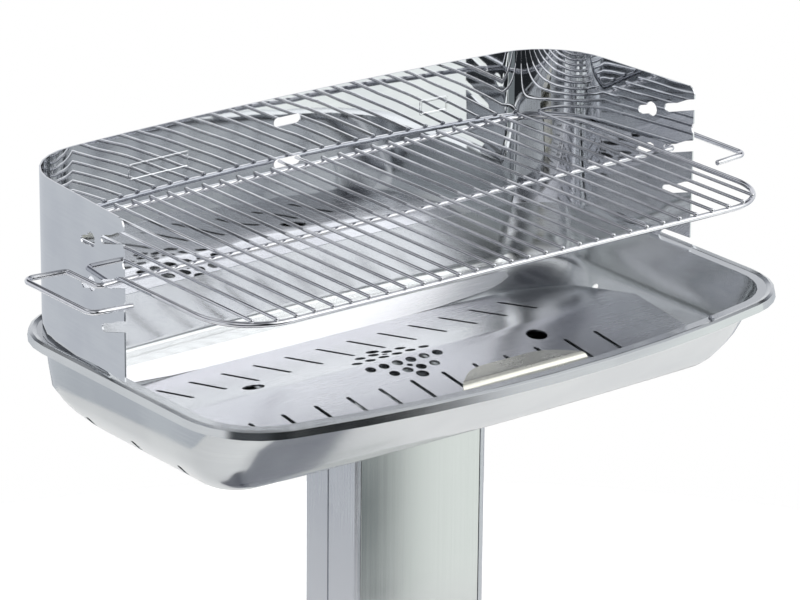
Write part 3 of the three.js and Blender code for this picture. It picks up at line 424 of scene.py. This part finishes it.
def buildCarryWire(shape):
    slant = (handleOuter - grill["handleInner"]) * grill["slantShare"]
    right = [
        (grill["handleInner"], grill["carryY"]),
        (grill["handleInner"], grill["handleBack"] - slant),
        (handleOuter, grill["handleBack"]),
        (handleOuter, -grill["handleFront"] + slant),
        (grill["handleTip"], -grill["handleFront"]),
    ]
    left = [(-x, y) for x, y in reversed(right)]
    bends = [grill["turn"], grill["turn"], grill["bend"], grill["bend"], 0]
    path = roundedPath(left + right, bends[::-1] + bends, grill["bendSteps"], False)
    addWire(shape, path, carryLevel, railRadius, grill["sides"])


grillPiece("grill_rods", buildRods)
grillPiece("grill_frame", buildFrame)
grillPiece("grill_carry_wire", buildCarryWire)
print("grill drawn")


# Two thin plates with a raised edge on the inside of the windshield's back, left bare.
labels = {
    "sheet": 1.0, "sink": 0.25, "corner": 2.2, "innerCorner": 0.6, "cornerSteps": 5, "edge": 0.6,
    "border": 1.8, "hollow": 0.35,
    "wallArc": 3100, "wallSheet": 1.5,  # the windshield's own radius and thickness
    "plates": (  # name, middle x, level over the rods, width, height
        ("long", -142, 22.5, 66, 15.5), ("short", 159.5, 21.7, 31, 14.5),
    ),
}
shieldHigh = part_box("windshield")[1]


def labelPlate(name, x, level, width, height):
    wallY = shieldHigh.y / mm - labels["wallSheet"] - x * x / (2 * labels["wallArc"])
    turn = Matrix.Rotation(-x / labels["wallArc"], 4, "Z")
    place = Matrix.Translation((x, wallY + labels["sink"], rodLevel + level)) @ turn
    profile = (  # distance in from the plate's edge and out from its back, ring by ring
        (0, 0), (0, labels["sheet"] - labels["edge"] / 2), (labels["edge"] / 2, labels["sheet"]),
        (labels["border"], labels["sheet"]),
        (labels["border"] + labels["edge"], labels["sheet"] - labels["hollow"]),
    )
    shape = bmesh.new()
    rings = []
    for inset, out in profile:
        w, h = width / 2 - inset, height / 2 - inset
        corner = max(labels["corner"] - inset, labels["innerCorner"])
        outline = roundedPath(
            [(-w, -h), (w, -h), (w, h), (-w, h)], [corner] * 4, labels["cornerSteps"], True,
        )
        rings.append([shape.verts.new(place @ Vector((p.x, -out, p.y)) * mm) for p in outline])
    for lower, upper in zip(rings, rings[1:]):
        for k in range(len(lower)):
            nextOne = (k + 1) % len(lower)
            shape.faces.new((lower[k], lower[nextOne], upper[nextOne], upper[k]))
    shape.faces.new(rings[0])
    shape.faces.new(rings[-1])
    bmesh.ops.recalc_face_normals(shape, faces=shape.faces)
    mesh = bpy.data.meshes.new("label_plate_" + name)
    shape.to_mesh(mesh)
    shape.free()
    mesh.materials.append(mirrorShield)
    plate = bpy.data.objects.new("label_plate_" + name, mesh)
    bpy.context.scene.collection.objects.link(plate)
    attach(plate, "shield")


for plateRow in labels["plates"]:
    labelPlate(*plateRow)
print("label plates added")


# What polished steel mirrors is set here: white paper below, a pale ceiling with a dark stripe,
# a dim room on the photographer's side with one big softbox in it, and a pale card at the right.
# Sizes from here on are in metres, and angles between directions are given by their cosines.
room = {
    "floorRadius": 1.35, "floorSides": 96, "floorColour": "#e9e9e9", "floorRoughness": 0.9,
    "floorLift": 0.42, "mirroredLift": 0.1,
    "worldColour": "#ffffff", "worldLevel": 0.62,
    "heights": (  # share from straight down to straight up, and the colour there
        (0.0, "#a9adb5"), (0.34, "#d0d4da"), (0.47, "#f4f5f7"), (0.66, "#e6e7ec"),
        (0.72, "#8f929a"), (0.775, "#303236"), (0.84, "#d8dade"), (0.88, "#e6e8eb"),
        (1.0, "#45474d"),
    ),
    # the dim room on the photographer's side: dark ahead, grey at the left and paler higher up
    "dimSide": (-0.45, -1.0, 0.0), "dimFrom": 0.53, "dimTo": 0.73,
    "aheadColour": "#25282a", "leftLowColour": "#4a4d51", "leftHighColour": "#f0f1f3",
    "leftFrom": -0.2, "leftTo": -0.6, "highFrom": 0.04, "highTo": 0.38,
    # the big softbox in it, which fades out just above the horizon
    "boxSide": (0.5755, -0.7428, 0.44), "boxFrom": 0.74, "boxTo": 0.93, "boxColour": "#ffffff",
    "boxLevel": 1.75, "boxLow": 0.02, "boxFull": 0.13,
}
card = {
    "left": 0.4, "right": 2.4, "low": 0.002, "high": 0.6, "y": -0.8,
    "fadeFrom": 0.555, "fadeTo": 0.615,
    "dimColour": "#7b8284", "colour": "#f7fbf8", "paleLevel": 1.15,
}


def plainMesh(name, corners):
    mesh = bpy.data.meshes.new(name)
    mesh.from_pydata(corners, [], [list(range(len(corners)))])
    thing = bpy.data.objects.new(name, mesh)
    bpy.context.scene.collection.objects.link(thing)
    return thing


# The paper is lifted to white for the camera and a little in reflections, and keeps its shadow.
def buildFloor():
    turns = [2 * math.pi * i / room["floorSides"] for i in range(room["floorSides"])]
    radius = room["floorRadius"]
    floor = plainMesh("floor", [(radius * math.cos(t), radius * math.sin(t), 0) for t in turns])
    material, tree = emptyMaterial("white paper sweep")
    ray = addNode(tree, "ShaderNodeLightPath")
    seen = addNode(tree, "ShaderNodeMath", {"operation": "MAXIMUM"}, {
        0: ray.outputs["Is Camera Ray"], 1: ray.outputs["Is Transmission Ray"],
    })
    seenLift = addNode(tree, "ShaderNodeMath", {"operation": "MULTIPLY"}, {
        0: seen.outputs[0], 1: room["floorLift"],
    })
    lift = addNode(tree, "ShaderNodeMix", {"data_type": "FLOAT"}, {
        "Factor": ray.outputs["Is Glossy Ray"],
        "A": seenLift.outputs[0], "B": room["mirroredLift"],
    })
    paper = addNode(tree, "ShaderNodeBsdfPrincipled", None, {
        "Base Color": linearColour(room["floorColour"]), "Roughness": room["floorRoughness"],
        "Emission Color": (1, 1, 1, 1), "Emission Strength": lift.outputs[0],
    })
    addNode(tree, "ShaderNodeOutputMaterial", None, {"Surface": paper.outputs["BSDF"]})
    floor.data.materials.append(material)


# The world lights evenly, shows white to the camera and shows the room in reflections.
def buildWorld():
    world = bpy.data.worlds.new("studio")
    bpy.context.scene.world = world
    world.use_nodes = True
    tree = world.node_tree
    tree.nodes.clear()
    ray = addNode(tree, "ShaderNodeLightPath")
    direction = addNode(tree, "ShaderNodeTexCoord").outputs["Generated"]
    parts = addNode(tree, "ShaderNodeSeparateXYZ", None, {"Vector": direction})
    height = addNode(tree, "ShaderNodeMapRange", None, {
        "Value": parts.outputs["Z"], "From Min": -1.0,
    })
    ramp = addNode(tree, "ShaderNodeValToRGB", None, {"Fac": height.outputs["Result"]})
    ramp.color_ramp.interpolation = "EASE"
    for i, (share, colour) in enumerate(room["heights"]):
        stops = ramp.color_ramp.elements
        stop = stops[i] if i < 2 else stops.new(share)
        stop.position, stop.color = share, linearColour(colour)
    towards = addNode(tree, "ShaderNodeVectorMath", {"operation": "DOT_PRODUCT"}, {
        0: direction, 1: Vector(room["dimSide"]).normalized(),
    })
    dim = addNode(tree, "ShaderNodeMapRange", {"interpolation_type": "SMOOTHSTEP"}, {
        "Value": towards.outputs["Value"], "From Min": room["dimFrom"], "From Max": room["dimTo"],
    })
    rise = addNode(tree, "ShaderNodeMapRange", {"interpolation_type": "SMOOTHSTEP"}, {
        "Value": parts.outputs["Z"], "From Min": room["highFrom"], "From Max": room["highTo"],
    })
    leftColour = addNode(tree, "ShaderNodeMix", {"data_type": "RGBA"}, {
        "Factor": rise.outputs["Result"], "A": linearColour(room["leftLowColour"]),
        "B": linearColour(room["leftHighColour"]),
    })
    leftwards = addNode(tree, "ShaderNodeMapRange", {"interpolation_type": "SMOOTHSTEP"}, {
        "Value": parts.outputs["X"], "From Min": room["leftTo"], "From Max": room["leftFrom"],
        "To Min": 1.0, "To Max": 0.0,
    })
    dimColour = addNode(tree, "ShaderNodeMix", {"data_type": "RGBA"}, {
        "Factor": leftwards.outputs["Result"], "A": linearColour(room["aheadColour"]),
        "B": leftColour.outputs["Result"],
    })
    reflected = addNode(tree, "ShaderNodeMix", {"data_type": "RGBA"}, {
        "Factor": dim.outputs["Result"],
        "A": ramp.outputs["Color"], "B": dimColour.outputs["Result"],
    })
    towardsBox = addNode(tree, "ShaderNodeVectorMath", {"operation": "DOT_PRODUCT"}, {
        0: direction, 1: Vector(room["boxSide"]).normalized(),
    })
    box = addNode(tree, "ShaderNodeMapRange", {"interpolation_type": "SMOOTHSTEP"}, {
        "Value": towardsBox.outputs["Value"],
        "From Min": room["boxFrom"], "From Max": room["boxTo"],
    })
    aboveHorizon = addNode(tree, "ShaderNodeMapRange", {"interpolation_type": "SMOOTHSTEP"}, {
        "Value": parts.outputs["Z"], "From Min": room["boxLow"], "From Max": room["boxFull"],
    })
    boxShare = addNode(tree, "ShaderNodeMath", {"operation": "MULTIPLY"}, {
        0: box.outputs["Result"], 1: aboveHorizon.outputs["Result"],
    })
    lighting = addNode(tree, "ShaderNodeBackground", None, {
        "Color": linearColour(room["worldColour"]), "Strength": room["worldLevel"],
    })
    surroundings = addNode(tree, "ShaderNodeBackground", None, {
        "Color": reflected.outputs["Result"],
    })
    softbox = addNode(tree, "ShaderNodeBackground", None, {
        "Color": linearColour(room["boxColour"]), "Strength": room["boxLevel"],
    })
    mirrored = addNode(tree, "ShaderNodeMixShader", None, {
        "Fac": boxShare.outputs[0], 1: surroundings.outputs[0], 2: softbox.outputs[0],
    })
    white = addNode(tree, "ShaderNodeBackground", None, {"Color": (1, 1, 1, 1)})
    glossyOrNot = addNode(tree, "ShaderNodeMixShader", None, {
        "Fac": ray.outputs["Is Glossy Ray"], 1: lighting.outputs[0], 2: mirrored.outputs[0],
    })
    seen = addNode(tree, "ShaderNodeMath", {"operation": "MAXIMUM"}, {
        0: ray.outputs["Is Camera Ray"], 1: ray.outputs["Is Transmission Ray"],
    })
    whole = addNode(tree, "ShaderNodeMixShader", None, {
        "Fac": seen.outputs[0], 1: glossyOrNot.outputs[0], 2: white.outputs[0],
    })
    addNode(tree, "ShaderNodeOutputWorld", None, {"Surface": whole.outputs[0]})


# A low card, dim at its left and pale at its right, that only reflections show.
def buildCard():
    left, right, low, high = (card[key] for key in ("left", "right", "low", "high"))
    y = card["y"]
    board = plainMesh("card", [(left, y, low), (left, y, high), (right, y, high), (right, y, low)])
    for ray in ("camera", "diffuse", "transmission", "shadow", "volume_scatter"):
        setattr(board, "visible_" + ray, False)
    material, tree = emptyMaterial("pale card")
    place = addNode(tree, "ShaderNodeTexCoord").outputs["Object"]
    across = addNode(tree, "ShaderNodeSeparateXYZ", None, {"Vector": place})
    fade = addNode(tree, "ShaderNodeMapRange", {"interpolation_type": "SMOOTHSTEP"}, {
        "Value": across.outputs["X"], "From Min": card["fadeFrom"], "From Max": card["fadeTo"],
    })
    colour = addNode(tree, "ShaderNodeMix", {"data_type": "RGBA"}, {
        "Factor": fade.outputs["Result"],
        "A": linearColour(card["dimColour"]), "B": linearColour(card["colour"]),
    })
    level = addNode(tree, "ShaderNodeMapRange", None, {
        "Value": fade.outputs["Result"], "To Min": 1.0, "To Max": card["paleLevel"],
    })
    glow = addNode(tree, "ShaderNodeEmission", None, {
        "Color": colour.outputs["Result"], "Strength": level.outputs["Result"],
    })
    addNode(tree, "ShaderNodeOutputMaterial", None, {"Surface": glow.outputs[0]})
    board.data.materials.append(material)


lamps = [  # name, place, aimed at, width, height in metres, watts
    ("key softbox", (-1.6, -1.9, 2.7), (0, 0, 0.6), 1.6, 1.6, 38),
    ("fill softbox", (2.2, -0.8, 2.2), (0, 0, 0.6), 1.8, 1.4, 22),
    ("back softbox", (0.4, 2.3, 2.4), (0, 0, 0.7), 2.0, 1.2, 20),
]


def addLamp(name, place, aim, width, height, watts):
    light = bpy.data.lights.new(name, "AREA")
    light.shape = "RECTANGLE"
    light.size, light.size_y, light.energy = width, height, watts
    lamp = bpy.data.objects.new(name, light)
    lamp.location = place
    lamp.rotation_euler = (Vector(aim) - Vector(place)).to_track_quat("-Z", "Y").to_euler()
    lamp.visible_glossy = False
    bpy.context.scene.collection.objects.link(lamp)


# The photographer's place and lens, worked out from the grill's corners and rods in the picture.
shot = {
    "place": (-2.27505, -2.91861, 2.06817), "turn": 37.7604, "fall": 20.0068, "roll": -0.5771,
    "lens": 205.3,
}


def addCamera():
    turn, fall, roll = (math.radians(shot[key]) for key in ("turn", "fall", "roll"))
    ahead = Vector((
        math.sin(turn) * math.cos(fall), math.cos(turn) * math.cos(fall), -math.sin(fall),
    ))
    level = Vector((math.cos(turn), -math.sin(turn), 0))
    below = ahead.cross(level)
    right = level * math.cos(roll) + below * math.sin(roll)
    up = level * math.sin(roll) - below * math.cos(roll)
    lens = bpy.data.cameras.new("camera")
    lens.lens = shot["lens"]
    camera = bpy.data.objects.new("camera", lens)
    axes = Matrix((right, up, -ahead)).transposed().to_4x4()
    camera.matrix_world = Matrix.Translation(shot["place"]) @ axes
    bpy.context.scene.collection.objects.link(camera)
    bpy.context.scene.camera = camera


buildFloor()
buildWorld()
buildCard()
for lampRow in lamps:
    addLamp(*lampRow)
addCamera()
bpy.context.scene.view_settings.view_transform = "Standard"
print("studio set")

bpy.context.view_layer.update()
